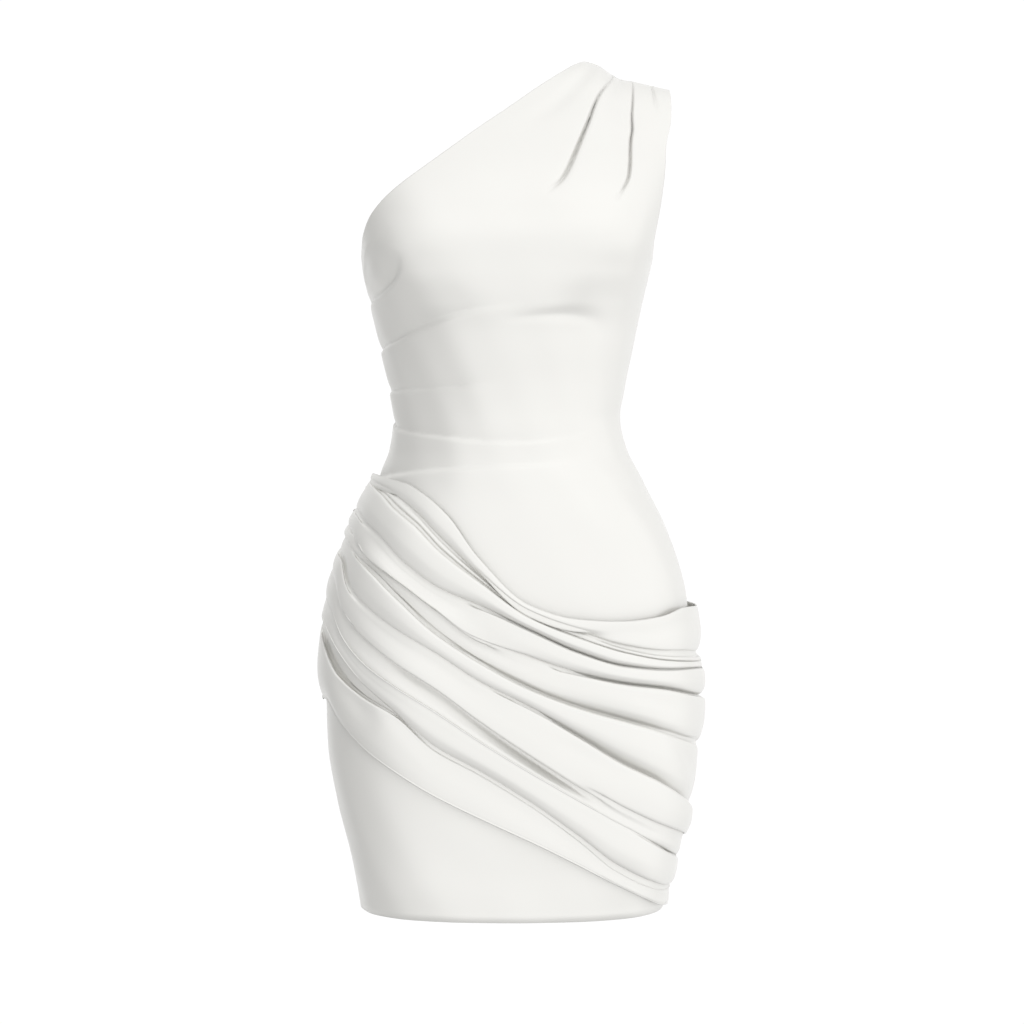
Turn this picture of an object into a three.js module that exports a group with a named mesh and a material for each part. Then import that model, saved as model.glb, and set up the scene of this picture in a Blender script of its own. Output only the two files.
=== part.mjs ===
import * as THREE from 'three';

// One-shoulder mini dress of satin crepe, standing open as when it is worn.
// Millimetres, +Z up. The front faces -Y, and the strap is on the +X side.
// Heights in the tables are above the hem. Angles run in degrees round each
// half of the dress, from the side seam under the bare shoulder (0) to the
// side seam under the strap (180). The group at the end moves the origin to
// the underside of the strap, where the wearer's shoulder carries the dress.

const WALL = 1.6; // cloth wall
const SEAM_GAP = 0.3; // between two pieces that are sewn together
const IVORY = 0xf3f1ea;

const FALL_FROM = 700; // height at which the shoulder slope starts to act
const RIDGE = 831; // height of the shoulder ridge at the neck
const HOLD_X = 120; // across, the place where the shoulder holds the strap

const BUST_HOLLOW = { depth: 6, angle: 90, spread: 20, z: 655, height: 60 };
const MM_PER_DEGREE = 2.5; // round the dress, for measuring along the cloth

const radians = THREE.MathUtils.degToRad;

// Names the columns of a table, so that each row can be read by name
function table(names, rows) {
  return rows.map((row) => Object.fromEntries(names.map((name, i) => [name, row[i]])));
}

// Sections of the dress: reach to each side seam, depth to front and back, and squareness
const SECTIONS = table(['z', 'bareSide', 'strapSide', 'front', 'back', 'square'], [
  [0, 147, 152, 103, 106, 0.035],
  [40, 154, 158, 107, 110, 0.05],
  [100, 168.5, 171, 110, 118, 0.05],
  [160, 179, 178, 112, 126, 0.04],
  [220, 182, 181.5, 113, 130, 0.03],
  [260, 180, 180, 112, 130, 0.03],
  [300, 176.5, 175.5, 110, 127, 0.03],
  [340, 167, 167, 106, 120, 0.03],
  [380, 152, 152, 101, 108, 0.03],
  [420, 131.5, 131, 96, 95, 0.01],
  [450, 118.5, 115.5, 92, 86, 0],
  [480, 114.5, 109.5, 91, 80, 0],
  [510, 119, 113.5, 95, 79, 0],
  [560, 130, 123.5, 107, 83, 0],
  [590, 137, 130, 116, 87, 0.02],
  [620, 143, 137, 124, 92, 0.05],
  [648, 146, 143, 127, 96, 0.07],
  [680, 155, 155, 121, 98, 0.06],
  [720, 168, 168, 104, 97, 0.04],
  [760, 181, 181, 78, 88, 0.02],
  [790, 190, 190, 54, 70, 0.02],
  [811, 193, 193, 36, 50, 0.02],
  [824, 194, 194, 20, 31, 0.02],
  [829, 194, 194, 9, 15, 0.02],
  [RIDGE, 194, 194, 0, 0, 0.02],
]);

// The shoulder seam: how far it has fallen below its highest point at each place across
const SHOULDER_SEAM = table(['across', 'fall'], [
  [60, 0], [74, 1.5], [85, 4.5], [100, 14], [109, 19], [121, 21], [138, 25], [158, 29.5],
]);

// Edges of the panels above the underarm: the angles where the cloth starts and ends
const UNDERARM = 632;
const FRONT_NECKLINE = table(['z', 'angle'], [
  [UNDERARM, 0], [640, 13], [654, 26], [666, 34], [682, 44.7], [720, 65.7],
  [754, 80], [776, 89], [802, 98.5], [823, 107], [RIDGE, 110.5],
]);
const FRONT_ARMHOLE = table(['z', 'angle'], [
  [UNDERARM, 180], [640, 166], [650, 158.5], [680, 151.5], [711, 149],
  [744, 146], [780, 143.5], [RIDGE, 141.5],
]);
const BACK_NECKLINE = table(['z', 'angle'], [
  [UNDERARM, 0], [638, 15], [650, 30], [678, 47], [710, 65],
  [745, 80], [790, 98], [RIDGE, 110.5],
]);
const BACK_ARMHOLE = table(['z', 'angle'], [
  [UNDERARM, 180], [640, 167], [650, 160.5], [680, 154.5], [744, 150.5], [790, 146], [RIDGE, 141.5],
]);

// Creases of the panels: three places along each, its depth, its width, and
// whether it is deepest at its start (a pleat in a seam) or halfway (a free crease)
const FRONT_CREASES = table(['from', 'by', 'to', 'depth', 'width', 'startsInSeam'], [
  [[121.2, 830], [112.3, 759], [100, 692], 4.5, 6, true],
  [[126, 830], [128, 750], [123, 686], 4.5, 6, true],
  [[114.7, 829], [105, 790], [93, 755], 1.6, 8, true],
  [[14, 594], [38, 604], [56, 626], 2.6, 8, true],
  [[8, 549], [58, 568], [102, 592], 2.4, 9, true],
  [[85, 576], [108, 582], [130, 572], 2.0, 13, false],
  [[10, 508], [45, 510], [76, 514], 1.4, 9, true],
  [[10, 470], [84, 458], [140, 469], 2.0, 9, false],
]);
const BACK_CREASES = table(['from', 'by', 'to', 'depth', 'width', 'startsInSeam'], [
  [[118, 824], [110, 742], [100, 690], 3.0, 9, true],
  [[130, 824], [130, 755], [127, 700], 2.6, 9, true],
  [[8, 590], [38, 600], [60, 622], 2.0, 9, true],
  [[172, 556], [130, 572], [96, 592], 2.0, 10, true],
  [[10, 520], [60, 502], [104, 510], 1.6, 9, true],
  [[174, 486], [120, 470], [60, 462], 1.8, 9, true],
]);

// Strips of the hip drape between its folds, from its top edge to its bottom edge. Each row gives,
// at the stations, the height of the strip's upper, folded edge, and how far the strip lies from
// the panel below that edge (crest) and at its lower end (foot).
const STATIONS = [0, 20, 45, 70, 95, 120, 150, 180];
const FRONT_STRIPS = table(['name', 'heights', 'crest', 'foot'], [
  ['top edge', [426, 425, 418, 388, 305, 288, 297, 296],
    [6, 4.5, 4.6, 6.5, 7.5, 8, 8, 9.5], [3, 2, 2, 2, 2, 2.2, 4, 2.5]],
  ['fold 1', [418, 414, 397, 354, 293, 261, 247, 243],
    [6, 7.5, 10, 11, 10.5, 8.5, 8, 8], [4, 3, 4.2, 2.8, 2, 2.6, 4.5, 6]],
  ['fold 2', [391, 386, 362, 316, 280, 247, 239, 234],
    [6, 6.5, 5.5, 3.8, 8.5, 9.5, 9.5, 11], [3, 2.2, 8.8, 8.5, 3.8, 2, 3.5, 5]],
  ['fold 3', [376, 369, 342, 298, 253, 229, 215, 205],
    [5.5, 5, 2.2, 2.5, 4.5, 9.5, 10, 12], [2.5, 2, 2, 2, 2, 2, 4, 6]],
  ['fold 4', [366, 358, 333, 278, 225, 194, 171, 156],
    [3, 3, 8.5, 10.5, 10.5, 10, 9, 9], [2.2, 2, 5, 6.5, 5, 2, 2, 2]],
  ['fold 5', [352, 343, 298, 257, 207, 154, 118, 90],
    [5, 6.5, 7, 7, 9, 12, 11.5, 11.5], [2.2, 3, 8.5, 11, 11, 9, 6.8, 6.5]],
  ['fold 6', [334, 317, 272, 226, 162, 106, 80, 66],
    [5.5, 4.5, 2.2, 2.2, 2.2, 7.5, 6.6, 6.4], [3.5, 4, 7, 9, 9.5, 9, 3, 3]],
  ['fold 7', [305, 291, 243, 200, 143, 94, 62, 46],
    [5, 4.2, 7.5, 9.8, 10.2, 10.2, 8, 7.5], [4, 2.2, 2.2, 5.4, 5, 4.5, 3.8, 3.4]],
  ['fold 8', [280, 266, 220, 166, 114, 53, 26, 19],
    [9, 9, 8.5, 6.2, 5, 4.5, 3.8, 3.4], [5, 4.5, 4, 4, 4.4, 4.4, 3.4, 3]],
  ['bottom edge', [203, 207, 167, 123, 80, 40, 11, 2], [], []],
]);
const BACK_STRIPS = table(['name', 'heights', 'crest', 'foot'], [
  ['top edge', [426, 422, 404, 374, 340, 314, 299, 296],
    [6, 4.5, 6, 6.4, 6.8, 7, 8, 11], [3, 2, 2, 2.2, 2.2, 2.2, 4, 5]],
  ['fold 1', [410, 402, 376, 343, 306, 275, 257, 250],
    [6, 6, 7.5, 7.5, 7.5, 7, 8, 8], [3, 2, 2.4, 2.4, 2.2, 2.2, 4, 6]],
  ['fold 2', [386, 374, 342, 302, 262, 231, 211, 203],
    [6, 6, 7.5, 7.5, 7.2, 7.4, 8, 12], [2.5, 2, 3.5, 4.5, 2.2, 2.2, 3.5, 7]],
  ['fold 3', [362, 346, 312, 268, 222, 186, 164, 152],
    [5.5, 6, 7.4, 6, 7, 8, 8, 10.5], [2.2, 2.2, 2.2, 2.2, 3.5, 5, 3.5, 5]],
  ['fold 4', [335, 318, 278, 230, 184, 147, 118, 102],
    [5.5, 6, 6.8, 8, 8, 7, 8, 11], [2.5, 2.2, 3, 5, 5, 2.4, 4, 6.5]],
  ['fold 5', [300, 280, 238, 190, 142, 100, 69, 54],
    [8, 7, 7, 6.8, 6.6, 7, 6, 10], [5, 4, 3, 3, 3, 3, 3, 3.5]],
  ['bottom edge', [203, 207, 172, 130, 84, 43, 12, 2], [], []],
]);
// Down the face of a strip: share of its height, and of the change from foot to crest that is
// still there, on a strip that falls away below its crest and on one that rises to its foot
const FACE = table(['down', 'falling', 'rising'], [[0.42, 0.82, 0.3], [0.76, 0.45, 0.04]]);
const TOP_SHARE = 0.7; // lift of the drape's top edge, as a share of its crest's
const EDGE_SHARE = 0.75; // how far out a folded edge starts, from the strip above to its own crest
const CREST_DROP = 3.2; // from a folded edge down to the crest of its roll
const CREST_SHARE = 0.24; // the same as a share of a narrow strip
const FOOT_RISE = 1.0; // the cloth above a folded edge dips behind it by this much
const FOOT_SHARE = 0.1; // the same as a share of a narrow strip
const LEAST_LIFT = 2.1; // the outer face of the drape never lies closer to the panel than this

const FRONT_SIZE = { columns: 22, skirtRows: 11, waistRows: 14, chestRows: 17 };
const BACK_SIZE = { columns: 18, skirtRows: 9, waistRows: 10, chestRows: 12 };
const FRONT_DRAPE_COLUMNS = 25;
const BACK_DRAPE_COLUMNS = 20;
const WAIST_START = 400; // height where the rows of a panel get closer
const EVEN_SHARE = 0.2; // of the spacing of the chest rows; the rest brings them closer at both ends

// A smooth curve through points, which never overshoots between two of them
function curveThrough(xs, ys) {
  const width = xs.slice(1).map((x, i) => x - xs[i]);
  const rise = width.map((w, i) => (ys[i + 1] - ys[i]) / w);
  const slope = ys.map((y, i) => {
    if (i === 0) return rise[0];
    if (i === ys.length - 1) return rise[i - 1];
    if (rise[i - 1] * rise[i] <= 0) return 0;
    return (2 * rise[i - 1] * rise[i]) / (rise[i - 1] + rise[i]);
  });
  return (x) => {
    let i = 0;
    while (i < width.length - 1 && x > xs[i + 1]) i += 1;
    const t = THREE.MathUtils.clamp((x - xs[i]) / width[i], 0, 1);
    const past = 1 - t;
    return ys[i] * past * past * (1 + 2 * t) + ys[i + 1] * t * t * (3 - 2 * t)
      + width[i] * t * past * (slope[i] * past - slope[i + 1] * t);
  };
}

function columnCurve(rows, from, to) {
  return curveThrough(rows.map((row) => row[from]), rows.map((row) => row[to]));
}

const section = {
  bareSide: columnCurve(SECTIONS, 'z', 'bareSide'),
  strapSide: columnCurve(SECTIONS, 'z', 'strapSide'),
  front: columnCurve(SECTIONS, 'z', 'front'),
  back: columnCurve(SECTIONS, 'z', 'back'),
  square: columnCurve(SECTIONS, 'z', 'square'),
};

const seamFall = columnCurve(SHOULDER_SEAM, 'across', 'fall');

const FRONT = { facing: -1, depth: section.front };
const BACK = { facing: 1, depth: section.back };

function bell(distance, spread) {
  return Math.exp(-((distance / spread) ** 2));
}

// How far the shoulder slope lowers a point that lies x across
function shoulderFall(x, z) {
  return seamFall(x) * THREE.MathUtils.smoothstep(z, FALL_FROM, RIDGE);
}

// A point of the figure at an angle and height, moved out by lift
function figurePoint(half, angle, z, lift) {
  const a = radians(angle);
  const q = section.square(z);
  const across = (Math.cos(a) - q * Math.cos(3 * a)) / (1 - q);
  const deep = (Math.sin(a) + q * Math.sin(3 * a)) / (1 - q);
  const reach = (across > 0 ? section.bareSide(z) : section.strapSide(z)) + lift;
  const x = -reach * across;
  let y = Math.max((half.depth(z) + Math.min(lift, half.depth(z))) * deep, SEAM_GAP / 2);
  if (half === FRONT) {
    const { depth, spread, height } = BUST_HOLLOW;
    y -= depth * bell(angle - BUST_HOLLOW.angle, spread) * bell(z - BUST_HOLLOW.z, height);
  }
  return new THREE.Vector3(x, half.facing * y, z - shoulderFall(x, z));
}

// Distance in millimetres from a place on the cloth to a crease, and how far along it that is
function alongCrease(crease, angle, z) {
  const places = [crease.from, crease.by, crease.to].map(
    ([at, height]) => new THREE.Vector2(at * MM_PER_DEGREE, height),
  );
  const point = new THREE.Vector2(angle * MM_PER_DEGREE, z);
  let nearest = { distance: Infinity, share: 0 };
  for (let i = 0; i < 2; i += 1) {
    const run = places[i + 1].clone().sub(places[i]);
    const reach = point.clone().sub(places[i]).dot(run) / run.lengthSq();
    const t = THREE.MathUtils.clamp(reach, 0, 1);
    const distance = places[i].clone().addScaledVector(run, t).distanceTo(point);
    if (distance < nearest.distance) nearest = { distance, share: (i + t) / 2 };
  }
  return nearest;
}

function creaseDepth(creases, angle, z) {
  return creases.reduce((sum, crease) => {
    const { distance, share } = alongCrease(crease, angle, z);
    const strength = crease.startsInSeam ? 1 - share * share : Math.sin(Math.PI * share);
    return sum + crease.depth * strength * bell(distance, crease.width);
  }, 0);
}

// Unit normal of the grid at row i and column j, pointing away from the wearer
function gridNormal(grid, i, j, facing) {
  const rows = grid.length - 1;
  const columns = grid[0].length - 1;
  const up = grid[Math.min(i + 1, rows)][j].clone().sub(grid[Math.max(i - 1, 0)][j]);
  const across = grid[i][Math.min(j + 1, columns)].clone().sub(grid[i][Math.max(j - 1, 0)]);
  return across.cross(up).multiplyScalar(-facing).normalize();
}

// The inner face lies one wall behind the outer one. At the seams it keeps the outer
// face's place from front to back, so that the two halves stay apart there.
function innerGrid(outer, facing, seamRow) {
  const lastColumn = outer[0].length - 1;
  return outer.map((row, i) => row.map((point, j) => {
    const inner = point.clone().addScaledVector(gridNormal(outer, i, j, facing), -WALL);
    const onSideSeam = (j === 0 || j === lastColumn) && Math.abs(point.y) < SEAM_GAP;
    if (onSideSeam || i === seamRow) inner.y = point.y;
    return inner;
  }));
}

// One closed wall between the outer and inner faces, rows running up and columns across
function wallGeometry(outer, facing, seamRow = -1) {
  const inner = innerGrid(outer, facing, seamRow);
  const rows = outer.length;
  const columns = outer[0].length;
  const points = [...outer.flat(), ...inner.flat()];
  const index = [];
  const quad = (a, b, c, d, turned) => {
    const corners = turned ? [a, b, d, b, c, d] : [a, b, c, a, c, d];
    index.push(...(facing < 0 ? corners : corners.reverse()));
  };
  const out = (i, j) => i * columns + j;
  const back = (i, j) => rows * columns + out(i, j);
  for (let i = 0; i < rows - 1; i += 1) {
    for (let j = 0; j < columns - 1; j += 1) {
      const rising = outer[i][j].distanceTo(outer[i + 1][j + 1]);
      const falling = outer[i][j + 1].distanceTo(outer[i + 1][j]);
      const turned = falling < rising;
      quad(out(i, j), out(i, j + 1), out(i + 1, j + 1), out(i + 1, j), turned);
      quad(back(i, j), back(i + 1, j), back(i + 1, j + 1), back(i, j + 1), turned);
    }
  }
  const last = { row: rows - 1, column: columns - 1 };
  for (let j = 0; j < columns - 1; j += 1) {
    quad(out(0, j), back(0, j), back(0, j + 1), out(0, j + 1));
    quad(out(last.row, j), out(last.row, j + 1), back(last.row, j + 1), back(last.row, j));
  }
  for (let i = 0; i < rows - 1; i += 1) {
    quad(out(i, 0), out(i + 1, 0), back(i + 1, 0), back(i, 0));
    quad(out(i, last.column), back(i, last.column), back(i + 1, last.column), out(i + 1, last.column));
  }
  const geometry = new THREE.BufferGeometry();
  geometry.setFromPoints(points);
  geometry.setIndex(index);
  geometry.computeVertexNormals();
  return geometry;
}

// Evenly spaced heights from a to b, without b
function steps(a, b, count) {
  return Array.from({ length: count }, (_, i) => a + ((b - a) * i) / count);
}

// A panel from the hem to the shoulder seam, open at the neckline and the armhole
function panelGeometry(half, neckline, armhole, creases, size) {
  const start = columnCurve(neckline, 'z', 'angle');
  const end = columnCurve(armhole, 'z', 'angle');
  const chest = steps(0, 1, size.chestRows).map(
    (t) => UNDERARM + (RIDGE - UNDERARM)
      * (EVEN_SHARE * t + (1 - EVEN_SHARE) * Math.sin((Math.PI * t) / 2) ** 2),
  );
  const levels = [
    ...steps(0, WAIST_START, size.skirtRows),
    ...steps(WAIST_START, UNDERARM, size.waistRows),
    ...chest,
    RIDGE,
  ];
  const grid = levels.map((z) => Array.from({ length: size.columns + 1 }, (_, j) => {
    const share = j / size.columns;
    const angle = z < UNDERARM ? 180 * share : start(z) + (end(z) - start(z)) * share;
    return figurePoint(half, angle, z, -creaseDepth(creases, angle, z));
  }));
  return wallGeometry(grid, half.facing, grid.length - 1);
}

// The hip drape: strips between folded edges, each lapping over the strip above it where its
// crest stands further out than that one's foot
function drapeGeometry(half, rows, columns) {
  const strips = rows.map((row) => ({
    height: curveThrough(STATIONS, row.heights),
    crest: row.crest.length ? curveThrough(STATIONS, row.crest) : null,
    foot: row.foot.length ? curveThrough(STATIONS, row.foot) : null,
  }));
  const columnPoints = Array.from({ length: columns + 1 }, (_, j) => {
    const angle = (180 * j) / columns;
    let above = 0;
    return strips.slice(0, -1).flatMap((strip, i) => {
      const top = strip.height(angle);
      const fall = top - strips[i + 1].height(angle);
      const crest = strip.crest(angle);
      const foot = strip.foot(angle);
      const face = FACE.map(({ down, falling, rising }) => [
        top - down * fall,
        foot + (crest - foot) * (crest > foot ? falling : rising),
      ]);
      const edgeLift = i === 0 ? TOP_SHARE * crest : above + EDGE_SHARE * (crest - above);
      const isLast = i === strips.length - 2;
      const end = top - fall + (isLast ? 0 : Math.min(FOOT_RISE, fall * FOOT_SHARE));
      above = foot;
      return [
        [top, edgeLift],
        [top - Math.min(CREST_DROP, CREST_SHARE * fall), crest],
        ...face,
        [end, foot],
      ].map(([z, lift]) => figurePoint(half, angle, z, Math.max(lift, LEAST_LIFT)));
    });
  });
  const grid = columnPoints[0].map((_, i) => columnPoints.map((points) => points[i])).reverse();
  return wallGeometry(grid, half.facing);
}

function clothPiece(name, geometry) {
  const material = new THREE.MeshStandardMaterial({ color: IVORY, roughness: 0.5, metalness: 0 });
  const mesh = new THREE.Mesh(geometry, material);
  mesh.name = name;
  return mesh;
}

const dress = new THREE.Group();
dress.add(
  clothPiece('front_panel', panelGeometry(FRONT, FRONT_NECKLINE, FRONT_ARMHOLE, FRONT_CREASES, FRONT_SIZE)),
  clothPiece('back_panel', panelGeometry(BACK, BACK_NECKLINE, BACK_ARMHOLE, BACK_CREASES, BACK_SIZE)),
  clothPiece('front_drape', drapeGeometry(FRONT, FRONT_STRIPS, FRONT_DRAPE_COLUMNS)),
  clothPiece('back_drape', drapeGeometry(BACK, BACK_STRIPS, BACK_DRAPE_COLUMNS)),
);
dress.position.set(-HOLD_X, 0, -(RIDGE - shoulderFall(HOLD_X, RIDGE) - WALL));

export default dress;
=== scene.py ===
import math

import bpy
import numpy as np
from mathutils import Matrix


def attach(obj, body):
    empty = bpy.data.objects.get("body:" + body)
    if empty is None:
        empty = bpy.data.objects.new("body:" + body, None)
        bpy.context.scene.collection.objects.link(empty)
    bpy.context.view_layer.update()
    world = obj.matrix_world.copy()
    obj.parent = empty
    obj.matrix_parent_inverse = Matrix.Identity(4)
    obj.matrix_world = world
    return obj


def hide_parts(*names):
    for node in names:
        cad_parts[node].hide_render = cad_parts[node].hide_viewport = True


# A short one-shoulder dress of ivory satin crepe, filled out as when it is worn. The front faces
# -Y, +X is the strap side, and the origin is under the strap on the shoulder. The meshes are in
# metres. Sizes here are in millimetres, heights are above the hem, and angles go in degrees round
# each half of the dress, from the side seam under the bare shoulder (0) to the one under the strap.
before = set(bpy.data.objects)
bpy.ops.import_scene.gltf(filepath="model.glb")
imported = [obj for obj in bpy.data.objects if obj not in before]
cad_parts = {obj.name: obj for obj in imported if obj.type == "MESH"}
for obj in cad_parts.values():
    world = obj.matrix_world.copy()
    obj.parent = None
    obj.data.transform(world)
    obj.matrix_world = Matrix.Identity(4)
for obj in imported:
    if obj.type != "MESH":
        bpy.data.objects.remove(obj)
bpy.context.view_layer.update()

# The panels
# Front and back are each one piece of satin crepe from the hem to the shoulder seam, sewn together
# at the sides and the shoulder. Pleats are laid into the shoulder seam, and the fitted cloth
# draws into creases from the side seam under the bare shoulder.
MM = 0.001
CLOTH = 0.9
SEAM_GAP = 0.3
# The shoulder ridge, and the underarm, above which each panel has a neckline and an armhole
RIDGE, UNDERARM = 831.0, 632.0
# Above the first height the shoulder seam's fall is felt, and relief goes straight in. Below the
# second neither is so.
FALL_FROM, CHEST_FROM = 700.0, 660.0
# Where the strap is held, across from the middle of the hem, and the solid's wall under it
HOLD_X, WALL = 120.0, 1.6
# The shoulder seam: places across, and how far it has fallen there below its highest point
SEAM_ACROSS = (60, 74, 85, 100, 109, 121, 138, 158)
SEAM_FALL = (0, 1.5, 4.5, 14, 19, 21, 25, 29.5)
BUST_HOLLOW = dict(depth=6.0, angle=90.0, spread=20.0, z=655.0, height=60.0)
# The form that the worn dress keeps, a stack of rounded sections. The panels lie on it and the hip
# drape stands off it. Each row: height, half width on either side, depth in front and behind, and
# how square the section is.
SECTION_NAMES = ("z", "bare_side", "strap_side", "front", "back", "square")
SECTIONS = dict(zip(SECTION_NAMES, np.array([
    (0, 147, 152, 103, 106, 0.035),
    (40, 154, 158, 107, 110, 0.05),
    (100, 168.5, 171, 110, 118, 0.05),
    (160, 179, 178, 112, 126, 0.04),
    (220, 182, 181.5, 113, 130, 0.03),
    (260, 180, 180, 112, 130, 0.03),
    (300, 176.5, 175.5, 110, 127, 0.03),
    (340, 167, 167, 106, 120, 0.03),
    (380, 152, 152, 101, 108, 0.03),
    (420, 131.5, 131, 96, 95, 0.01),
    (450, 118.5, 115.5, 92, 86, 0),
    (480, 114.5, 109.5, 91, 80, 0),
    (510, 119, 113.5, 95, 79, 0),
    (560, 130, 123.5, 107, 83, 0),
    (590, 137, 130, 116, 87, 0.02),
    (620, 143, 137, 124, 92, 0.05),
    (648, 146, 143, 127, 96, 0.07),
    (680, 155, 155, 121, 98, 0.06),
    (720, 168, 168, 104, 97, 0.04),
    (760, 181, 181, 78, 88, 0.02),
    (790, 190, 190, 54, 70, 0.02),
    (811, 193, 193, 36, 50, 0.02),
    (824, 194, 194, 20, 31, 0.02),
    (829, 194, 194, 9, 15, 0.02),
    (RIDGE, 194, 194, 0, 0, 0.02),
]).T))


def point_slopes(rise):
    """Slopes at the points of a curve, from the rises between them: the harmonic mean of the rises
    on the two sides where both go the same way, and else 0, so that the curve never overshoots."""
    both = rise[:-1] * rise[1:]
    total = np.where(both > 0, rise[:-1] + rise[1:], 1.0)
    return np.concatenate([rise[:1], np.where(both > 0, 2 * both / total, 0.0), rise[-1:]])


def cubic_between(low, high, low_slope, high_slope, width, t):
    """The cubic from low at t = 0 to high at t = 1, over the width, with a slope at each end."""
    past = 1 - t
    return (low * past**2 * (1 + 2 * t) + high * t**2 * (3 - 2 * t)
            + width * t * past * (low_slope * past - high_slope * t))


def curve_through(at, xs, ys):
    """A smooth curve through the points xs, ys, read off at the places given."""
    xs, ys, at = np.asarray(xs, float), np.asarray(ys, float), np.asarray(at, float)
    width = np.diff(xs)
    slope = point_slopes(np.diff(ys) / width)
    i = np.clip(np.searchsorted(xs, at, side="right") - 1, 0, len(xs) - 2)
    t = np.clip((at - xs[i]) / width[i], 0, 1)
    return cubic_between(ys[i], ys[i + 1], slope[i], slope[i + 1], width[i], t)


# From the middle of the hem to the origin, in millimetres
HOLD = np.array([HOLD_X, 0.0, RIDGE - curve_through(HOLD_X, SEAM_ACROSS, SEAM_FALL) - WALL])


def smoothstep(x, low, high):
    """0 up to low, 1 from high on, and t * t * (3 - 2 * t) between them. Low may be the greater
    of the two, and then it falls instead."""
    t = np.clip((x - low) / (high - low), 0, 1)
    return t * t * (3 - 2 * t)


def bell(distance, spread):
    """exp(-(distance / spread) squared)"""
    return np.exp(-((distance / spread) ** 2))


def figure(half, angle, z, lift):
    """Points of the figure, moved out by lift: a rounded section (cosine and sine of the angle,
    each with a little of its third harmonic) of the size that the table gives at height z. Over the
    chest the lift only moves them forward or back, so that the pleats there go straight in."""
    size = {name: curve_through(z, SECTIONS["z"], SECTIONS[name]) for name in SECTION_NAMES[1:]}
    a, q = np.radians(angle), size["square"]
    across = (np.cos(a) - q * np.cos(3 * a)) / (1 - q)
    deep = (np.sin(a) + q * np.sin(3 * a)) / (1 - q)
    sideways = lift * smoothstep(z, FALL_FROM, CHEST_FROM)
    x = -(np.where(across > 0, size["bare_side"], size["strap_side"]) + sideways) * across
    y = np.maximum((size[half] + np.minimum(lift, size[half])) * deep, SEAM_GAP / 2)
    if half == "front":
        hollow = BUST_HOLLOW
        y = y - (hollow["depth"] * bell(angle - hollow["angle"], hollow["spread"])
                 * bell(z - hollow["z"], hollow["height"]))
    z = z - curve_through(x, SEAM_ACROSS, SEAM_FALL) * smoothstep(z, FALL_FROM, RIDGE)
    return np.stack([x, y if half == "back" else -y, z], axis=-1)


# The edges of each panel above the underarm, from the side seams up to the shoulder ridge: places
# as height and angle
EDGES = {
    "front": dict(
        neckline=[(UNDERARM, 0), (640, 13), (654, 26), (666, 34), (682, 44.7), (720, 65.7),
                  (754, 80), (776, 89), (802, 98.5), (823, 107), (RIDGE, 110.5)],
        armhole=[(UNDERARM, 180), (640, 166), (650, 158.5), (680, 151.5), (711, 149),
                 (744, 146), (780, 143.5), (RIDGE, 141.5)]),
    "back": dict(
        neckline=[(UNDERARM, 0), (638, 15), (650, 30), (678, 47), (710, 65),
                  (745, 80), (790, 98), (RIDGE, 110.5)],
        armhole=[(UNDERARM, 180), (640, 167), (650, 160.5), (680, 154.5), (720, 150.5),
                 (750, 147.5), (790, 144.3), (RIDGE, 141.5)]),
}
# Each crease: places along it (angle, height), depth, its reach to the left hand and to the right
# hand of someone going along it, and how strong it is at its start, its middle and its end. The
# side creases run to the strap side, so their soft side lies above them and their sharp side below.
FRONT_CREASES = [
    ("shoulder pleat by the neck", [(113.5, 831), (110.3, 813), (101, 777), (92, 755)],
     5.0, 5, 4, (1, 0.7, 0)),
    ("second shoulder pleat",
     [(119.8, 831), (114.3, 788), (112.3, 759), (108.8, 731), (104.8, 705), (100, 692)],
     11.0, 0.65, 0.7, (0.35, 1, 0)),
    ("small shoulder pleat", [(121.7, 831), (120, 808), (118.6, 787)], 2.4, 2.5, 2.5, (1, 0.6, 0)),
    ("third shoulder pleat",
     [(126, 831), (126.1, 791), (127.9, 761), (128.1, 735), (128, 712), (125.8, 697), (122.5, 683)],
     11.0, 0.7, 0.65, (0.35, 1, 0)),
    ("pleat by the armhole", [(133.1, 831), (134.5, 815), (136.5, 797)], 7.0, 1.8, 1.2, (1, 0.7, 0)),
    ("underarm ridge", [(12, 612), (20, 628), (29, 640), (36, 648), (46, 656)],
     -1.6, 6, 2, (0.5, 1, 0)),
    ("underarm crease", [(0, 590), (10, 594), (30, 601), (42, 611), (49, 623), (52, 637)],
     4.4, 8, 1.2, (0.9, 1, 0)),
    ("long side crease", [(0, 545), (11, 549), (28, 554), (42, 562), (53, 569), (72, 581), (97, 591)],
     4.0, 8, 1.2, (1, 1, 0)),
    ("hollow under the bust", [(86, 573), (104, 577), (115, 578), (127, 575), (139, 560)],
     2.6, 5, 4, (0, 1, 0)),
    ("hollow across the bust", [(74, 610), (95, 612), (116, 610)], 0.7, 11, 11, (0, 1, 0)),
    ("rib crease", [(0, 506), (30, 508), (60, 511), (84, 515)], 3.4, 8, 1.1, (1, 0.9, 0)),
    ("waist crease", [(0, 476), (16, 471), (58, 463), (80, 459), (98, 459), (118, 463), (142, 473)],
     2.8, 6, 1.1, (1, 1, 0)),
    ("crease over the hip", [(0, 420), (18, 424), (60, 433), (102, 438), (130, 441)],
     3.4, 8, 1.3, (1, 0.8, 0)),
    ("strap side waist crease", [(180, 489), (150, 482), (126, 478)], 0.8, 5, 5, (0.7, 1, 0)),
    ("skirt hollow", [(66, 54), (88, 41), (108, 37), (126, 39)], 1.2, 12, 12, (0, 1, 0)),
    ("skirt side hollow", [(4, 196), (24, 186), (40, 166)], 1.0, 9, 9, (0.6, 1, 0)),
]
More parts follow.
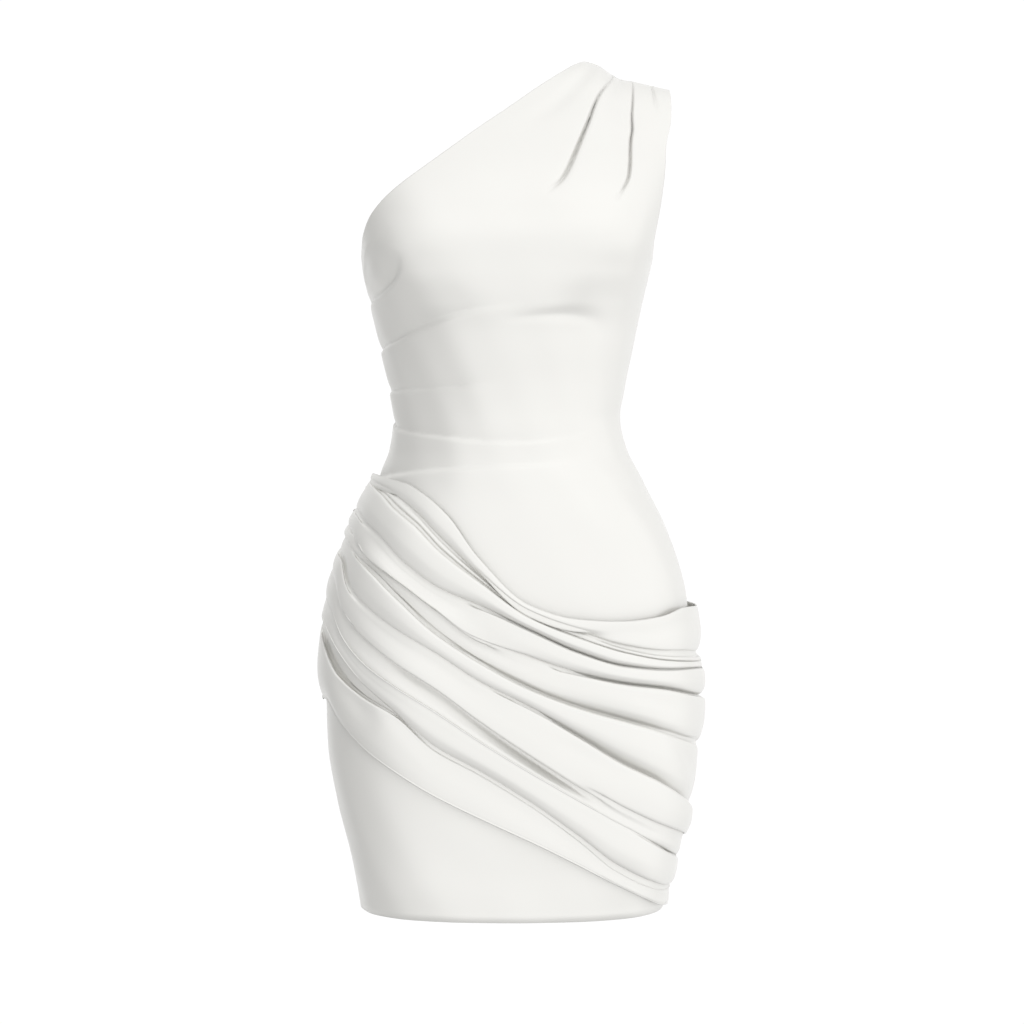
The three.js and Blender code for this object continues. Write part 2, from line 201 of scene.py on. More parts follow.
BACK_CREASES = [
    ("neck side pleat", [(119, 831), (113, 786), (108, 740), (96, 692)], 6.0, 2.2, 1.4, (0.6, 1, 0)),
    ("armhole side pleat", [(127, 831), (129, 780), (130, 740), (126, 698)], 6.0, 1.4, 2.2, (0.6, 1, 0)),
    ("small pleat", [(134, 831), (136, 808), (138, 790)], 2.4, 3, 2, (1, 0.7, 0)),
    ("underarm crease", [(2, 588), (24, 594), (44, 604), (62, 624)], 2.2, 1.6, 9, (0.9, 1, 0)),
    ("long side crease", [(0, 545), (34, 553), (66, 568), (100, 580)], 2.0, 1.6, 9, (1, 0.9, 0)),
    ("strap side crease", [(180, 566), (150, 574), (118, 584)], 1.6, 9, 2, (0.6, 0.8, 0)),
    ("small of the back", [(60, 506), (90, 500), (124, 508)], 1.6, 9, 9, (0, 1, 0)),
    ("waist crease", [(0, 476), (40, 468), (84, 460), (132, 468), (170, 480)], 1.5, 1.5, 7, (1, 1, 0)),
    ("crease over the hip", [(0, 420), (40, 430), (86, 440), (120, 446)], 1.8, 1.8, 8, (1, 0.6, 0)),
    ("skirt hollow", [(60, 60), (92, 48), (126, 52)], 1.0, 14, 14, (0, 1, 0)),
]
# About the length along the cloth of one degree round the figure
MM_PER_DEGREE = 2.5
# A crease widens along its route, from the first share of its reach by the second. Most of its
# depth lies near it, and the rest is this many times as wide.
OPENING, NEAR_SHARE, WIDER = (0.8, 1.2), 0.85, 3
# The powers of its profile where a side is sharp, with less than the soft reach, and where none is
SOFT_REACH, SHARP_POWER, SOFT_POWER = 3.0, 1.3, 2.0
# The slight waves of hanging cloth: their number, their range of lengths and their height
WAVES, WAVE_LENGTHS, PANEL_WAVE = 8, (45, 130), 1.0
PANEL_SEEDS = dict(front=11, back=23)
# How far round from a side seam two sewn pieces are brought together, and how far below the underarm
SEAM_REACH, SEAM_START = 12.0, 12.0
# Under the drape the panel is pressed in a little, between heights where that comes and goes
PRESSED, PRESSED_BELOW, PRESSED_ABOVE = 0.8, (440, 400), (150, 230)
# The rim of a wall of cloth stands out by this share of its thickness
RIM = 0.35
# Rows stand closer from the hip up, and in the chest closest at its lower and upper end, but for
# an even share
HIP, EVEN_SHARE = 400, 0.2
PANEL_GRID = dict(skirt_rows=56, waist_rows=106, chest_rows=102, columns=182)
# Where the columns stand, as a share of the width at each share of their number: closer together
# where the shoulder pleats run
COLUMN_SHARES, WIDTH_SHARES = (0, 0.27, 0.8, 1), (0, 0.4, 0.8, 1)


def smooth_route(places, count=24):
    """A smooth route through the places, as count points spaced evenly by place number."""
    places = np.array(places, float)
    at = np.linspace(0, len(places) - 1, count)
    return np.stack([curve_through(at, np.arange(len(places)), part) for part in places.T], axis=1)


def along_route(route, angle, z):
    """Signed distance in millimetres from each place (angle, z) to the nearest point of the route,
    positive on its right hand, and how far along the route that point is, from 0 to 1."""
    scale = np.array([MM_PER_DEGREE, 1.0])
    point = np.stack([angle, z], axis=-1) * scale
    line = route * scale
    nearest = np.full(angle.shape, np.inf)
    side, share = np.zeros(angle.shape), np.zeros(angle.shape)
    for i, (start, end) in enumerate(zip(line[:-1], line[1:])):
        run = end - start
        t = np.clip(((point - start) @ run) / (run @ run), 0, 1)
        offset = point - start - t[..., None] * run
        distance = np.hypot(offset[..., 0], offset[..., 1])
        closer = distance < nearest
        turn = run[1] * offset[..., 0] - run[0] * offset[..., 1]
        nearest = np.where(closer, distance, nearest)
        side = np.where(closer, np.sign(turn), side)
        share = np.where(closer, (i + t) / (len(line) - 1), share)
    return nearest * np.where(side == 0, 1, side), share


def crease_relief(creases, angle, z):
    """How far the creases move the cloth out: each is a trough along its route, whose two sides
    rise as 1 - exp(-(distance / reach) to a power), most of it near and the rest wider. The trough
    fades in and out along the route, and its reach opens from the start to the end."""
    relief = np.zeros(angle.shape)
    for _, places, depth, left_reach, right_reach, strength in creases:
        distance, share = along_route(smooth_route(places), angle, z)
        fade = curve_through(share, (0, 0.5, 1), strength)
        reach = np.where(distance < 0, left_reach, right_reach) * (OPENING[0] + OPENING[1] * share)
        near = np.abs(distance) / reach
        power = SHARP_POWER if min(left_reach, right_reach) < SOFT_REACH else SOFT_POWER
        deep = NEAR_SHARE * np.exp(-near**power)
        wide = (1 - NEAR_SHARE) * np.exp(-((near / WIDER) ** power))
        relief -= depth * fade * (deep + wide)
    return relief


def soft_waves(angle, z, height, seed):
    """Slight unevenness of hanging cloth: the mean of long sine waves, each with a length, a
    heading and a phase drawn from the seed."""
    draw = np.random.default_rng(seed)
    waves = np.zeros(angle.shape)
    for _ in range(WAVES):
        length = draw.uniform(*WAVE_LENGTHS)
        heading = draw.uniform(0, math.pi)
        phase = draw.uniform(0, 2 * math.pi)
        across = angle * MM_PER_DEGREE * math.cos(heading) + z * math.sin(heading)
        waves += np.sin(2 * math.pi * across / length + phase)
    return height * waves / WAVES


def grid_normals(points, facing):
    """Unit normals of a grid of points, from the cross product of its two directions."""
    up = np.gradient(points, axis=0)
    across = np.gradient(points, axis=1)
    normal = -facing * np.cross(across, up)
    return normal / np.linalg.norm(normal, axis=-1, keepdims=True)


def rim_points(outer, inner, edge, inward, at_seam, thickness):
    """Points half way between the two faces along the edge, moved out of the cloth, away from the
    grid's next row inward, by a share of the thickness. At a seam they stay where they are."""
    away = outer[edge] - outer[inward]
    away /= np.maximum(np.linalg.norm(away, axis=1, keepdims=True), 1e-9)
    middle = (outer[edge] + inner[edge]) / 2
    return middle + np.where(at_seam[edge, None], 0.0, RIM * thickness) * away


def wall_faces(numbers, edge):
    """Four-cornered faces of a closed wall of cloth: the outer grid, the inner grid the other way
    round, and two strips round the edge that meet at the rim."""
    corners = numbers[:-1, :-1], numbers[:-1, 1:], numbers[1:, 1:], numbers[1:, :-1]
    face = np.stack(corners, axis=-1).reshape(-1, 4)
    total = numbers.size
    ring = np.arange(len(edge)) + 2 * total
    after = np.roll(np.arange(len(edge)), -1)
    outer_rim = np.stack([edge, ring, ring[after], edge[after]], axis=1)
    inner_rim = np.stack([ring, edge + total, edge[after] + total, ring[after]], axis=1)
    return np.concatenate([face, face[:, ::-1] + total, outer_rim, inner_rim])


def cloth_lengths(outer):
    """For each point of the grid, the lengths run along its row and along its column."""
    lengths = np.zeros(outer.shape[:2] + (2,))
    lengths[:, 1:, 0] = np.cumsum(np.linalg.norm(np.diff(outer, axis=1), axis=-1), axis=1)
    lengths[1:, :, 1] = np.cumsum(np.linalg.norm(np.diff(outer, axis=0), axis=-1), axis=0)
    return lengths.reshape(-1, 2) * MM


def cloth_mesh(name, outer, facing, thickness, seam_rows=()):
    """One closed wall of cloth: the outer grid, an inner grid one thickness behind it, and a
    rounded rim between them. A UV map holds the lengths along the cloth, in metres."""
    inner = outer - thickness * grid_normals(outer, facing)
    at_seam = np.abs(outer[..., 1]) < SEAM_GAP
    at_seam[:, 1:-1] = False
    at_seam[list(seam_rows)] = True
    inner[..., 1] = np.where(at_seam, outer[..., 1], inner[..., 1])
    numbers = np.arange(at_seam.size).reshape(at_seam.shape)
    edge = np.concatenate([numbers[0, :-1], numbers[:-1, -1], numbers[-1, :0:-1], numbers[:0:-1, 0]])
    inward = np.concatenate([numbers[1, :-1], numbers[:-1, -2], numbers[-2, :0:-1], numbers[:0:-1, 1]])
    flat_outer, flat_inner = outer.reshape(-1, 3), inner.reshape(-1, 3)
    rim = rim_points(flat_outer, flat_inner, edge, inward, at_seam.reshape(-1), thickness)
    points = (np.concatenate([flat_outer, flat_inner, rim]) - HOLD) * MM
    faces = wall_faces(numbers, edge)
    if facing > 0:
        faces = faces[:, ::-1]
    mesh = bpy.data.meshes.new(name)
    mesh.vertices.add(len(points))
    mesh.vertices.foreach_set("co", points.astype(np.float32).ravel())
    mesh.loops.add(faces.size)
    mesh.loops.foreach_set("vertex_index", faces.astype(np.int32).ravel())
    mesh.polygons.add(len(faces))
    mesh.polygons.foreach_set("loop_start", np.arange(0, faces.size, 4, dtype=np.int32))
    mesh.update(calc_edges=True)
    mesh.validate()
    lengths = cloth_lengths(outer)
    per_point = np.concatenate([lengths, lengths, lengths[edge]])
    layer = mesh.uv_layers.new(name="cloth")
    layer.data.foreach_set("uv", per_point[faces.ravel()].astype(np.float32).ravel())
    mesh.polygons.foreach_set("use_smooth", np.ones(len(faces), dtype=bool))
    piece = bpy.data.objects.new(name, mesh)
    bpy.context.scene.collection.objects.link(piece)
    return piece


def panel_grid(half, creases):
    """Angles, heights and relief of a panel. Rows go from the hem to the ridge, columns from one
    edge of the cloth to the other: straight round the figure below the underarm, and between
    neckline and armhole above it."""
    grid = PANEL_GRID
    ease = np.linspace(0, 1, grid["chest_rows"])
    ease = EVEN_SHARE * ease + (1 - EVEN_SHARE) * np.sin(math.pi / 2 * ease) ** 2
    levels = np.concatenate([
        np.linspace(0, HIP, grid["skirt_rows"], endpoint=False),
        np.linspace(HIP, UNDERARM, grid["waist_rows"], endpoint=False),
        UNDERARM + (RIDGE - UNDERARM) * ease])
    share = curve_through(np.linspace(0, 1, grid["columns"]), COLUMN_SHARES, WIDTH_SHARES)
    z = levels[:, None] + 0 * share[None, :]
    start = curve_through(z, *np.array(EDGES[half]["neckline"], float).T)
    end = curve_through(z, *np.array(EDGES[half]["armhole"], float).T)
    above = z >= UNDERARM
    start, end = np.where(above, start, 0.0), np.where(above, end, 180.0)
    angle = start + (end - start) * share
    relief = crease_relief(creases, angle, z) + soft_waves(angle, z, PANEL_WAVE, PANEL_SEEDS[half])
    under_drape = smoothstep(z, *PRESSED_BELOW) * smoothstep(z, *PRESSED_ABOVE)
    return angle, z, relief - PRESSED * under_drape


def match_at_seams(angle, z, relief, other_relief):
    """The relief of one panel, brought to that of the other at both side seams: a mix of the two
    that goes from one to the other over the last few degrees before the seam."""
    sewn = smoothstep(z, UNDERARM, UNDERARM - SEAM_START)
    for column, apart in ((0, angle), (-1, 180 - angle)):
        at_seam = other_relief[:, column, None]
        relief = relief + (at_seam - relief) * smoothstep(apart, SEAM_REACH, 0) * sewn
    return relief


def satin_crepe(name, seed):
    """Ivory satin crepe: a pale warm white that mirrors part of the light softly, a little sheen at
    the edges, a fine weave and a crinkle of about a millimetre in the surface, and faint cloudiness
    where the cloth has been handled. The seed moves the clouds."""
    material = bpy.data.materials.new(name)
    material.use_nodes = True
    nodes, links = material.node_tree.nodes, material.node_tree.links
    shader = nodes["Principled BSDF"]
    shader.inputs["Metallic"].default_value = 0.4
    shader.inputs["Roughness"].default_value = 0.33
    shader.inputs["Specular IOR Level"].default_value = 0.6
    shader.inputs["Sheen Weight"].default_value = 0.08
    shader.inputs["Sheen Roughness"].default_value = 0.4
    where = nodes.new("ShaderNodeTexCoord")
    cloud = nodes.new("ShaderNodeTexNoise")
    cloud.noise_dimensions = "4D"
    cloud.inputs["W"].default_value = seed
    cloud.inputs["Scale"].default_value = 9.0
    cloud.inputs["Detail"].default_value = 3.0
    links.new(where.outputs["Object"], cloud.inputs["Vector"])
    tint = nodes.new("ShaderNodeMix")
    tint.data_type = "RGBA"
    tint.inputs["A"].default_value = (0.72, 0.714, 0.688, 1)
    tint.inputs["B"].default_value = (0.75, 0.744, 0.718, 1)
    links.new(cloud.outputs["Fac"], tint.inputs["Factor"])
    links.new(tint.outputs["Result"], shader.inputs["Base Color"])
    crinkle = nodes.new("ShaderNodeTexNoise")
    crinkle.inputs["Scale"].default_value = 1300.0
    crinkle.inputs["Detail"].default_value = 2.0
    links.new(where.outputs["UV"], crinkle.inputs["Vector"])
    weave = nodes.new("ShaderNodeTexWave")
    weave.inputs["Scale"].default_value = 480.0
    weave.inputs["Distortion"].default_value = 1.5
    weave.inputs["Detail"].default_value = 1.0
    links.new(where.outputs["UV"], weave.inputs["Vector"])
    height = nodes.new("ShaderNodeMath")
    height.operation = "MULTIPLY_ADD"
    height.inputs[1].default_value = 0.35
    links.new(weave.outputs["Fac"], height.inputs[0])
    links.new(crinkle.outputs["Fac"], height.inputs[2])
    bump = nodes.new("ShaderNodeBump")
    bump.inputs["Strength"].default_value = 0.18
    bump.inputs["Distance"].default_value = 0.0002
    links.new(height.outputs[0], bump.inputs["Height"])
    links.new(bump.outputs["Normal"], shader.inputs["Normal"])
    return material


panel_crepe = satin_crepe("satin_crepe", seed=1.7)
front_panel = panel_grid("front", FRONT_CREASES)
back_angle, back_z, back_relief = panel_grid("back", BACK_CREASES)
back_relief = match_at_seams(back_angle, back_z, back_relief, front_panel[2])
back_panel = back_angle, back_z, back_relief
for half, facing, panel_form in (("front", -1, front_panel), ("back", 1, back_panel)):
    panel = cloth_mesh(f"{half}_cloth", figure(half, *panel_form), facing, CLOTH, seam_rows=[-1])
    panel.data.materials.append(panel_crepe)
    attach(panel, "root")
    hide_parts(f"{half}_panel")

# The hip drape
# A wide piece of the same cloth for the front and one for the back, laid in pleats that open
# upwards, gathered high in the side seam under the bare shoulder and fanned out down to the hem
# on the other side. The pleats are held only in the side seams.
DRAPE_CLOTH = 0.7
# The angles at which the strips' heights are given, and those at which their lifts are
STATIONS = (0, 10, 20, 32, 45, 58, 70, 82, 95, 108, 122, 138, 155, 180)
LIFT_STATIONS = (0, 20, 45, 70, 95, 120, 150, 180)
# Each strip of the drape: the height of its upper, folded edge at the stations, and how far it
# lies from the panel below that edge (crest) and at its lower end (foot), at the lift stations.
# It laps over the strip above where its crest is higher than that one's foot, else it lies under.
FRONT_STRIPS = [
    ("top edge", (426, 426, 425, 422, 418, 407, 388, 346, 305, 291, 288, 291, 298, 296),
     (6, 4.5, 4.6, 6.5, 7.5, 8, 8, 9.5), (3, 2, 1.6, 1.6, 1.8, 2.2, 4, 2.5)),
    ("inner edge", (420, 418.5, 416, 412, 402.5, 387, 360, 330, 298, 279.5, 263, 254, 250, 246),
     (4, 3, 3, 3.2, 3.6, 4, 6.5, 7.5), (3.6, 2.4, 1.8, 1.8, 2.4, 3, 5, 6.5)),
    ("fold 1", (418, 417, 414, 408.5, 397, 381, 354, 326, 293, 273.5, 258.5, 249.5, 245.5, 241.5),
     (6, 7.5, 10, 11, 10.5, 8.5, 8, 8), (4, 3, 4.2, 2.8, 2, 2.6, 4.5, 6)),
    ("fold 2", (391, 389, 386, 377, 363, 338, 316, 301, 280, 259, 245, 240, 238, 234),
     (6, 6.5, 5.5, 3.8, 8.5, 9.5, 9.5, 11), (3, 2.2, 8.8, 8.5, 3.8, 2, 3.5, 5)),
    ("fold 3", (376, 373, 369, 356, 342, 323, 298, 269, 253, 238, 228, 221, 213, 205),
     (5.5, 5, 1.8, 1.8, 4.5, 9.5, 10, 12), (2.5, 1.8, 2, 2, 1.8, 2, 4, 6)),
    ("fold 4", (366, 363, 358, 348, 333, 308, 278, 251, 225, 207, 193, 180, 168, 156),
     (3, 3, 8.5, 10.5, 10.5, 10, 9, 9), (2.2, 1.8, 5, 6.5, 5, 1.8, 2, 2)),
    ("fold 5", (352, 348, 343, 320, 298, 276, 257, 231, 207, 179, 151, 130, 112, 90),
     (5, 6.5, 7, 7, 9, 12, 11.5, 11.5), (2.2, 3, 8.5, 11, 11, 9, 6.8, 6.5)),
    ("fold 6", (334, 327, 317, 293, 272, 249, 226, 195, 162, 131, 104, 86, 76, 66),
     (5.5, 4.5, 2, 1.6, 1.6, 7.5, 6.6, 6.4), (3.5, 4, 7, 9, 9.5, 9, 3, 3)),
    ("fold 7", (305, 300, 291, 268, 243, 222, 200, 173, 143, 116, 92, 72, 58, 46),
     (5, 4.2, 7.5, 9.8, 10.2, 10.2, 8, 7.5), (6, 6.5, 7, 5.4, 5, 4.5, 3.8, 3.4)),
    ("pocket", (286, 281, 272, 254, 228, 201, 168, 144.5, 115, 82.5, 51, 33, 24, 20.5),
     (4.5, 1.2, 1.2, 5.4, 5, 4.5, 3.8, 3.4), (4.5, 1.2, 1.4, 5.2, 5, 4.5, 3.8, 3.4)),
    ("fold 8", (277, 267, 253, 234, 215, 198, 166, 143, 113.5, 81, 49.5, 31.5, 22.5, 19),
     (7, 8, 8.5, 6.2, 5, 4.5, 3.8, 3.4), (2.2, 4, 6, 7, 7, 6, 5, 4)),
    ("bottom edge", (203, 208, 207, 189, 167, 145, 123, 102, 80, 58, 37, 20, 8, 1.5), None, None),
]
BACK_STRIPS = [
    ("top edge", (426, 425, 422, 416, 404, 390, 374, 357, 340, 326, 313, 303, 298, 296),
     (6, 4.5, 6, 6.4, 6.8, 7, 8, 11), (3, 2, 1.8, 2, 2, 2.2, 4, 5)),
    ("fold 1", (410, 407, 402, 390, 376, 360, 343, 325, 306, 290, 273, 262, 255, 250),
     (6, 6, 7.5, 7.5, 7.5, 7, 8, 8), (3, 2, 2, 2.4, 2, 2.2, 4, 6)),
    ("fold 2", (386, 381, 374, 359, 342, 322, 302, 282, 262, 245, 229, 218, 209, 203),
     (6, 6, 7.5, 7.5, 7.2, 7.4, 8, 12), (2.5, 1.8, 3.5, 4.5, 2.2, 2, 3.5, 7)),
    ("fold 3", (362, 355, 346, 331, 312, 291, 268, 245, 222, 202, 184, 171, 160, 152),
     (5.5, 6, 7.4, 6, 7, 8, 8, 10.5), (2, 2, 2.2, 2, 3.5, 5, 3.5, 5)),
    ("fold 4", (335, 328, 318, 300, 278, 254, 230, 207, 184, 163, 144, 127, 114, 102),
     (5.5, 6, 6.8, 8, 8, 7, 8, 11), (2.5, 2, 3, 5, 5, 2.4, 4, 6.5)),
    ("fold 5", (300, 292, 280, 262, 238, 214, 190, 166, 142, 119, 97, 79, 65, 54),
     (8, 7, 7, 6.8, 6.6, 7, 6, 10), (5, 4, 2.6, 3, 3, 3, 3, 3.5)),
    ("bottom edge", (203, 208, 206, 190, 172, 152, 130, 107, 84, 62, 40, 22, 9, 1.5), None, None),
]
# Soft troughs that run along or across the strips, in the form of the panels' creases
FRONT_DRAPE_CREASES = [
    ("trough in the lowest strip", [(56, 203), (79, 151), (95, 115), (116, 66)], 2.6, 8, 8, (0.4, 1, 0)),
    ("trough below the pocket", [(34, 226), (44, 208), (54, 186)], 2.4, 6, 6, (0.4, 1, 0)),
    ("trough under fold 3", [(128, 214), (142, 204), (160, 190)], 2.2, 7, 7, (0.4, 1, 0.4)),
    ("trough under the top edge", [(112, 276), (130, 276), (152, 282), (172, 284)],
     2.8, 6, 6, (0.6, 1, 0.5)),
    ("trough above fold 5", [(142, 176), (156, 150), (168, 128)], 3.0, 9, 9, (0.3, 1, 0.5)),
    ("trough below fold 5", [(100, 182), (112, 158), (128, 128)], 2.4, 7, 7, (0, 1, 0)),
]
BACK_DRAPE_CREASES = [
    ("trough in the lowest strip", [(70, 164), (92, 126), (120, 84)], 2.4, 9, 9, (0, 1, 0)),
    ("trough in fold 3", [(96, 206), (112, 184), (130, 160)], 2.0, 7, 7, (0, 1, 0)),
    ("trough by the strap side", [(128, 240), (146, 232), (164, 228)], 2.0, 7, 7, (0, 1, 0.4)),
]
# The cloth hidden behind a fold, at most this wide, and this share of the strip beside it
FOLD_WIDTH, FOLD_SHARE = 7.0, 0.42
# A step between two strips turns from a soft slope into a sharp fold between these heights
FOLD_STEPS = (1.2, 6.5)
# How near to a folded edge the strip above it ends and the strip's own crest lies, how much wider
# that is where the fold is soft, and the share of a strip that this takes at most
NEAR_ABOVE, NEAR_BELOW, NEAR_TOP, SOFTER, NEAR_LIMIT = 2.2, 2.4, 2.6, 5.0, 0.22
# The two sides of the fold's turn lie this share of that apart where it is soft, and a hair at least
FOLD_APART, HAIR = 0.4, 0.02
# The cloth turned in behind the top edge and the bottom edge: at each of its points, how far that
# is from the edge and how far it lies behind the strip's crest or foot there
TOP_TURN = ((12.0, 1.5), (4.8, 1.6))
TOP_LIP = 0.8
BOTTOM_NEAR, BOTTOM_LIP, BOTTOM_TURN = 2.0, 0.35, (6.0, 1.0)
DRAPE_COLUMNS = 150
# Rows of the grid from each kind of point to the next, and the least distance taken between two
SAMPLES = dict(approach=3, under=3, back=3, roll=4, face=4)
SHORTEST_STEP = 0.05
# Down the face of a strip: share of its height, and of its change of lift still to come where
# it falls away below its crest and where it rises out of the hollow under the strip above
FACE = ((0.4, 0.97, 0.65), (0.68, 0.76, 0.24), (0.88, 0.34, 0.04))
# Between these differences of crest and foot a face turns from a rising into a falling one
TURNS_TO_FALL = (-1, 1)
# Each face ends at this share of its height and is puffed out by this much, and more when it is wide
FACE_END, PUFF, PUFF_PER_MM = 0.97, 1.0, 0.02
# The folded edges wander up and down in waves of these spreads, where there is room for it
WANDER, WANDER_SPREADS, WANDER_ROOM = 0.6, (6.0, 9.5, 15.0), (3, 12)
# The troughs and waves come in between these lifts, so that they are on the faces only
FACE_LIFTS, DRAPE_WAVE = (2.2, 5.0), 0.9
DRAPE_SEEDS = dict(front=5, back=8)


def at_stations(values, angle):
    """The heights given at the stations, as a smooth curve round the drape."""
    return curve_through(angle, STATIONS, values)


def clear_of_seams(angle):
    """1 over the drape, falling smoothly to 0 at both side seams."""
    return smoothstep(angle, 0, SEAM_REACH) * smoothstep(angle, 180, 180 - SEAM_REACH)


def strip_points(strips, angle, wander):
    """Points down each column of the drape, as heights and lifts. At a fold the upper strip runs
    on behind the folded edge by the hidden width, turns back up, rolls over the edge and comes
    down as the next strip. Where a fold is slight the hidden width is nothing, and it is a step."""
    edges = [at_stations(row[1], angle) + w for row, w in zip(strips, wander)]
    crests = [curve_through(angle, LIFT_STATIONS, row[2]) for row in strips[:-1]]
    feet = [curve_through(angle, LIFT_STATIONS, row[3]) for row in strips[:-1]]
    clear = clear_of_seams(angle)
    points, counts = [], []

    def add(z, lift, samples):
        points.append(np.stack([z, lift], axis=-1))
        counts.append(samples)

    for i, edge in enumerate(edges[:-1]):
        below = edge - edges[i + 1]
        crest, foot = crests[i], feet[i]
        if i == 0:
            near_below = np.minimum(NEAR_TOP, NEAR_LIMIT * below)
            for down, behind in TOP_TURN:
                add(edge - down, crest - behind, SAMPLES["back"])
            add(edge, crest - TOP_LIP, SAMPLES["roll"])
        else:
            above, low = edges[i - 1] - edge, feet[i - 1]
            step = crest - low
            sharp = smoothstep(np.abs(step), *FOLD_STEPS)
            width = np.minimum(FOLD_WIDTH, FOLD_SHARE * np.minimum(above, below))
            width = width * sharp * np.sign(step) * clear
            near_above = np.minimum(NEAR_ABOVE + SOFTER * (1 - sharp), NEAR_LIMIT * above)
            near_below = np.minimum(NEAR_BELOW + SOFTER * (1 - sharp), NEAR_LIMIT * below)
            apart = FOLD_APART * np.minimum(near_above, near_below) * (1 - sharp * clear) + HAIR
            add(edge + near_above, low, SAMPLES["approach"])
            add(edge - np.maximum(width, 0) + apart, low + 0.25 * step, SAMPLES["under"])
            add(edge - width / 2, low + 0.5 * step, SAMPLES["back"])
            add(edge + np.maximum(-width, 0) - apart, low + 0.75 * step, SAMPLES["roll"])
        add(edge - near_below, crest, SAMPLES["face"])
        falling = smoothstep(crest - foot, *TURNS_TO_FALL)
        puff = PUFF + PUFF_PER_MM * below
        for share, left_falling, left_rising in FACE:
            left = left_rising + (left_falling - left_rising) * falling
            lift = foot + (crest - foot) * left + 2 * puff * share * (1 - share)
            add(edge - near_below - (FACE_END * below - near_below) * share, lift, SAMPLES["face"])
    edge, foot = edges[-1], feet[-1]
    up, behind = BOTTOM_TURN
    add(edge + BOTTOM_NEAR, foot, SAMPLES["roll"])
    add(edge, foot - BOTTOM_LIP, SAMPLES["back"])
    add(edge + up, foot - behind, SAMPLES["back"])
    return points, counts


def sample_columns(points, counts):
    """Rows of a grid through the points of every column: a smooth curve by distance run, on which
    each turn stays where its point is."""
    knots = np.stack(points)
    step = np.maximum(np.linalg.norm(np.diff(knots, axis=0), axis=-1, keepdims=True), SHORTEST_STEP)
    slope = point_slopes(np.diff(knots, axis=0) / step)
    rows = []
    for i in range(len(points) - 1):
        t = (np.arange(counts[i]) / counts[i])[:, None, None]
        rows.append(cubic_between(knots[i], knots[i + 1], slope[i], slope[i + 1], step[i], t))
    rows.append(knots[-1][None])
    return np.concatenate(rows)


def edge_wander(strips, angle, seed):
    """How far each folded edge wanders up or down: the mean of sine waves with drawn phases, less
    where the strip above is narrow and at the side seams. The first and last edge stay still."""
    draw = np.random.default_rng(seed)
    wander = []
    for i in range(len(strips)):
        size = 0.0 if i in (0, len(strips) - 1) else WANDER
        phases = draw.uniform(0, 2 * math.pi, len(WANDER_SPREADS))
        wave = sum(np.sin(angle / spread + phase) for spread, phase in zip(WANDER_SPREADS, phases))
        room = at_stations(strips[max(i - 1, 0)][1], angle) - at_stations(strips[i][1], angle)
        wave = wave * smoothstep(room, *WANDER_ROOM) * clear_of_seams(angle)
        wander.append(size * wave / len(WANDER_SPREADS))
    return wander


def drape_grid(half, strips, creases):
    """Angles, heights and lifts of the drape's grid, rows from the bottom edge up. Each folded
    edge wanders a little, and the faces carry soft troughs and slight waves."""
    angle, seed = np.linspace(0, 180, DRAPE_COLUMNS), DRAPE_SEEDS[half]
    wander = edge_wander(strips, angle, seed)
    heights_lifts = sample_columns(*strip_points(strips, angle, wander))[::-1]
    z, lift = heights_lifts[..., 0], heights_lifts[..., 1]
    angle = angle[None, :] + 0 * z
    relief = soft_waves(angle, z, DRAPE_WAVE, seed) + crease_relief(creases, angle, z)
    return angle, z, lift + smoothstep(lift, *FACE_LIFTS) * relief


def meet_at_seams(angle, z, lift, other_z, other_lift):
    """The lifts of one half of the drape, brought to those of the other half at both side seams:
    a mix of the two that goes from one to the other over the last few degrees."""
    for column, apart in ((0, angle), (-1, 180 - angle)):
        order = np.argsort(other_z[:, column])
        at_seam = np.interp(z, other_z[order, column], other_lift[order, column])
        lift = lift + (at_seam - lift) * smoothstep(apart, SEAM_REACH, 0)
    return lift


drape_crepe = satin_crepe("satin_crepe_drape", seed=4.2)
front_drape = drape_grid("front", FRONT_STRIPS, FRONT_DRAPE_CREASES)
back_angle, back_z, back_lift = drape_grid("back", BACK_STRIPS, BACK_DRAPE_CREASES)
back_lift = meet_at_seams(back_angle, back_z, back_lift, *front_drape[1:])
back_drape = back_angle, back_z, back_lift
for half, facing, drape_form in (("front", -1, front_drape), ("back", 1, back_drape)):
    drape = cloth_mesh(f"{half}_drape_cloth", figure(half, *drape_form), facing, DRAPE_CLOTH)
    drape.data.materials.append(drape_crepe)
    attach(drape, "root")
    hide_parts(f"{half}_drape")

# The studio
# A white room all round, dimmer on the side under the bare shoulder, which is left in half shade,
# and one soft light above in front.
WHITE = (1, 1, 1, 1)
KEY_PLACE, KEY_TARGET, KEY_SIZE, KEY_POWER = (600, -2200, 2400), (0, 0, 430), (3.0, 1.6), 2
# The photo's view: straight from the front, a little from above, its lens and sensor in millimetres
CAMERA_PLACE, CAMERA_TILT = (2.5, -2600.0, 482.0), 2.07
CAMERA_LENS, CAMERA_SENSOR = 92.8, 36.0
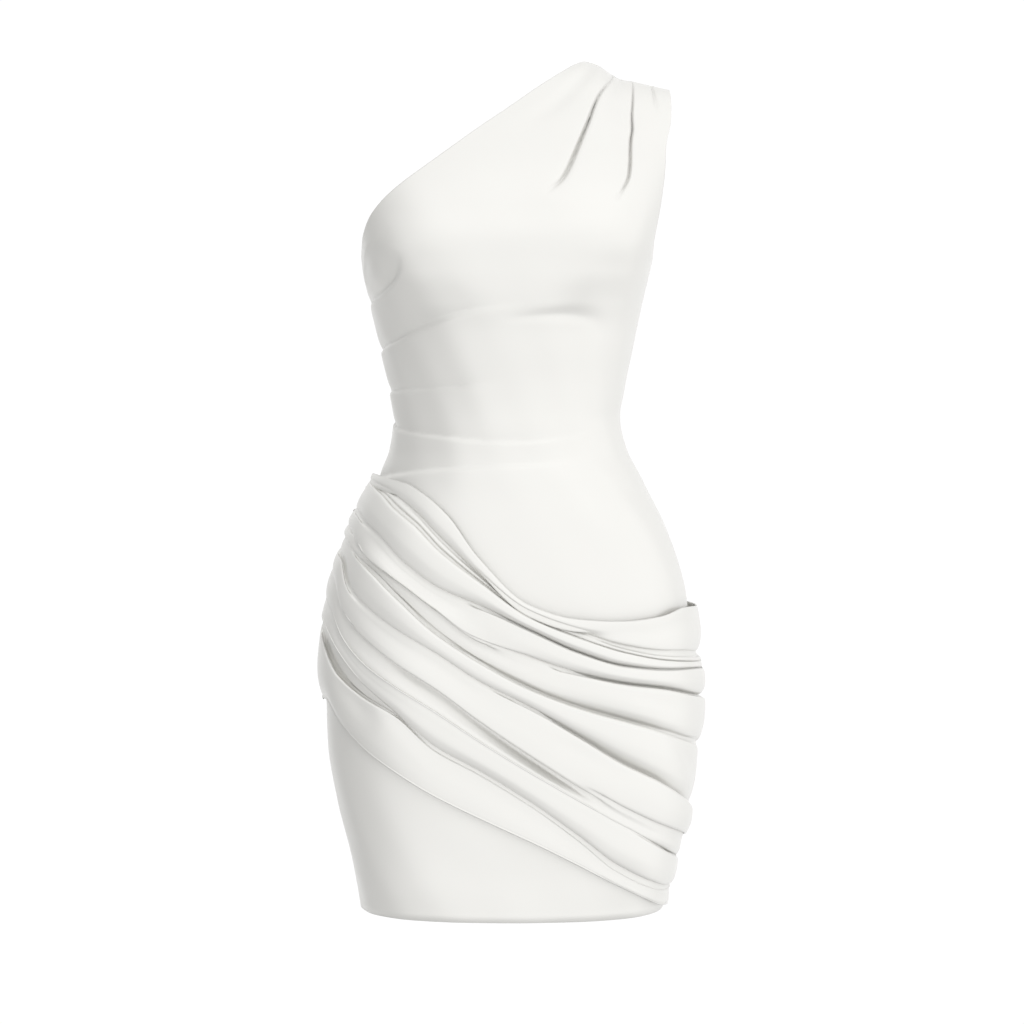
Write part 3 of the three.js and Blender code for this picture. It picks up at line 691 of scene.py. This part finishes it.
# The room's light by direction: along each axis, from where to where it changes, and its strength
# before and after. It is dim on the bare side and straight below, and a little less bright behind.
ROOM_GLOW = {"X": (-0.98, -0.3, 0.56, 1.3), "Y": (-0.1, 0.6, 1.0, 0.8), "Z": (-1.0, -0.5, 0.4, 1.0)}
GLOW_SOCKETS = ("From Min", "From Max", "To Min", "To Max")


def place(spot):
    """A place given in millimetres from the middle of the hem, in the part's own metres."""
    return tuple((np.array(spot) - HOLD) * MM)


def aim(thing, target):
    """Turns a light so that it shines from its place to the target."""
    way = np.array(target) - np.array(thing.location)
    level = math.hypot(way[0], way[1])
    thing.rotation_euler = (math.atan2(level, -way[2]), 0, math.atan2(-way[0], way[1]))


key = bpy.data.lights.new("key", "AREA")
key.shape = "RECTANGLE"
key.size, key.size_y = KEY_SIZE
key.energy = KEY_POWER
lamp = bpy.data.objects.new("key", key)
lamp.location = place(KEY_PLACE)
aim(lamp, place(KEY_TARGET))
bpy.context.scene.collection.objects.link(lamp)

world = bpy.data.worlds.new("studio")
world.use_nodes = True
nodes, links = world.node_tree.nodes, world.node_tree.links
nodes["Background"].inputs["Color"].default_value = WHITE
direction = nodes.new("ShaderNodeTexCoord")
parts = nodes.new("ShaderNodeSeparateXYZ")
links.new(direction.outputs["Generated"], parts.inputs["Vector"])
strength = None
for axis, values in ROOM_GLOW.items():
    glow = nodes.new("ShaderNodeMapRange")
    glow.interpolation_type = "SMOOTHSTEP"
    for socket, value in zip(GLOW_SOCKETS, values):
        glow.inputs[socket].default_value = value
    links.new(parts.outputs[axis], glow.inputs["Value"])
    product = nodes.new("ShaderNodeMath")
    product.operation = "MULTIPLY"
    product.inputs[0].default_value = 1.0
    links.new(glow.outputs["Result"], product.inputs[1])
    if strength:
        links.new(strength, product.inputs[0])
    strength = product.outputs[0]
links.new(strength, nodes["Background"].inputs["Strength"])
bpy.context.scene.world = world

camera_data = bpy.data.cameras.new("camera")
camera_data.lens = CAMERA_LENS
camera_data.sensor_width = CAMERA_SENSOR
camera = bpy.data.objects.new("camera", camera_data)
camera.location = place(CAMERA_PLACE)
camera.rotation_euler = (math.radians(90 - CAMERA_TILT), 0, 0)
bpy.context.scene.collection.objects.link(camera)
bpy.context.scene.camera = camera
bpy.context.scene.view_settings.view_transform = "Standard"
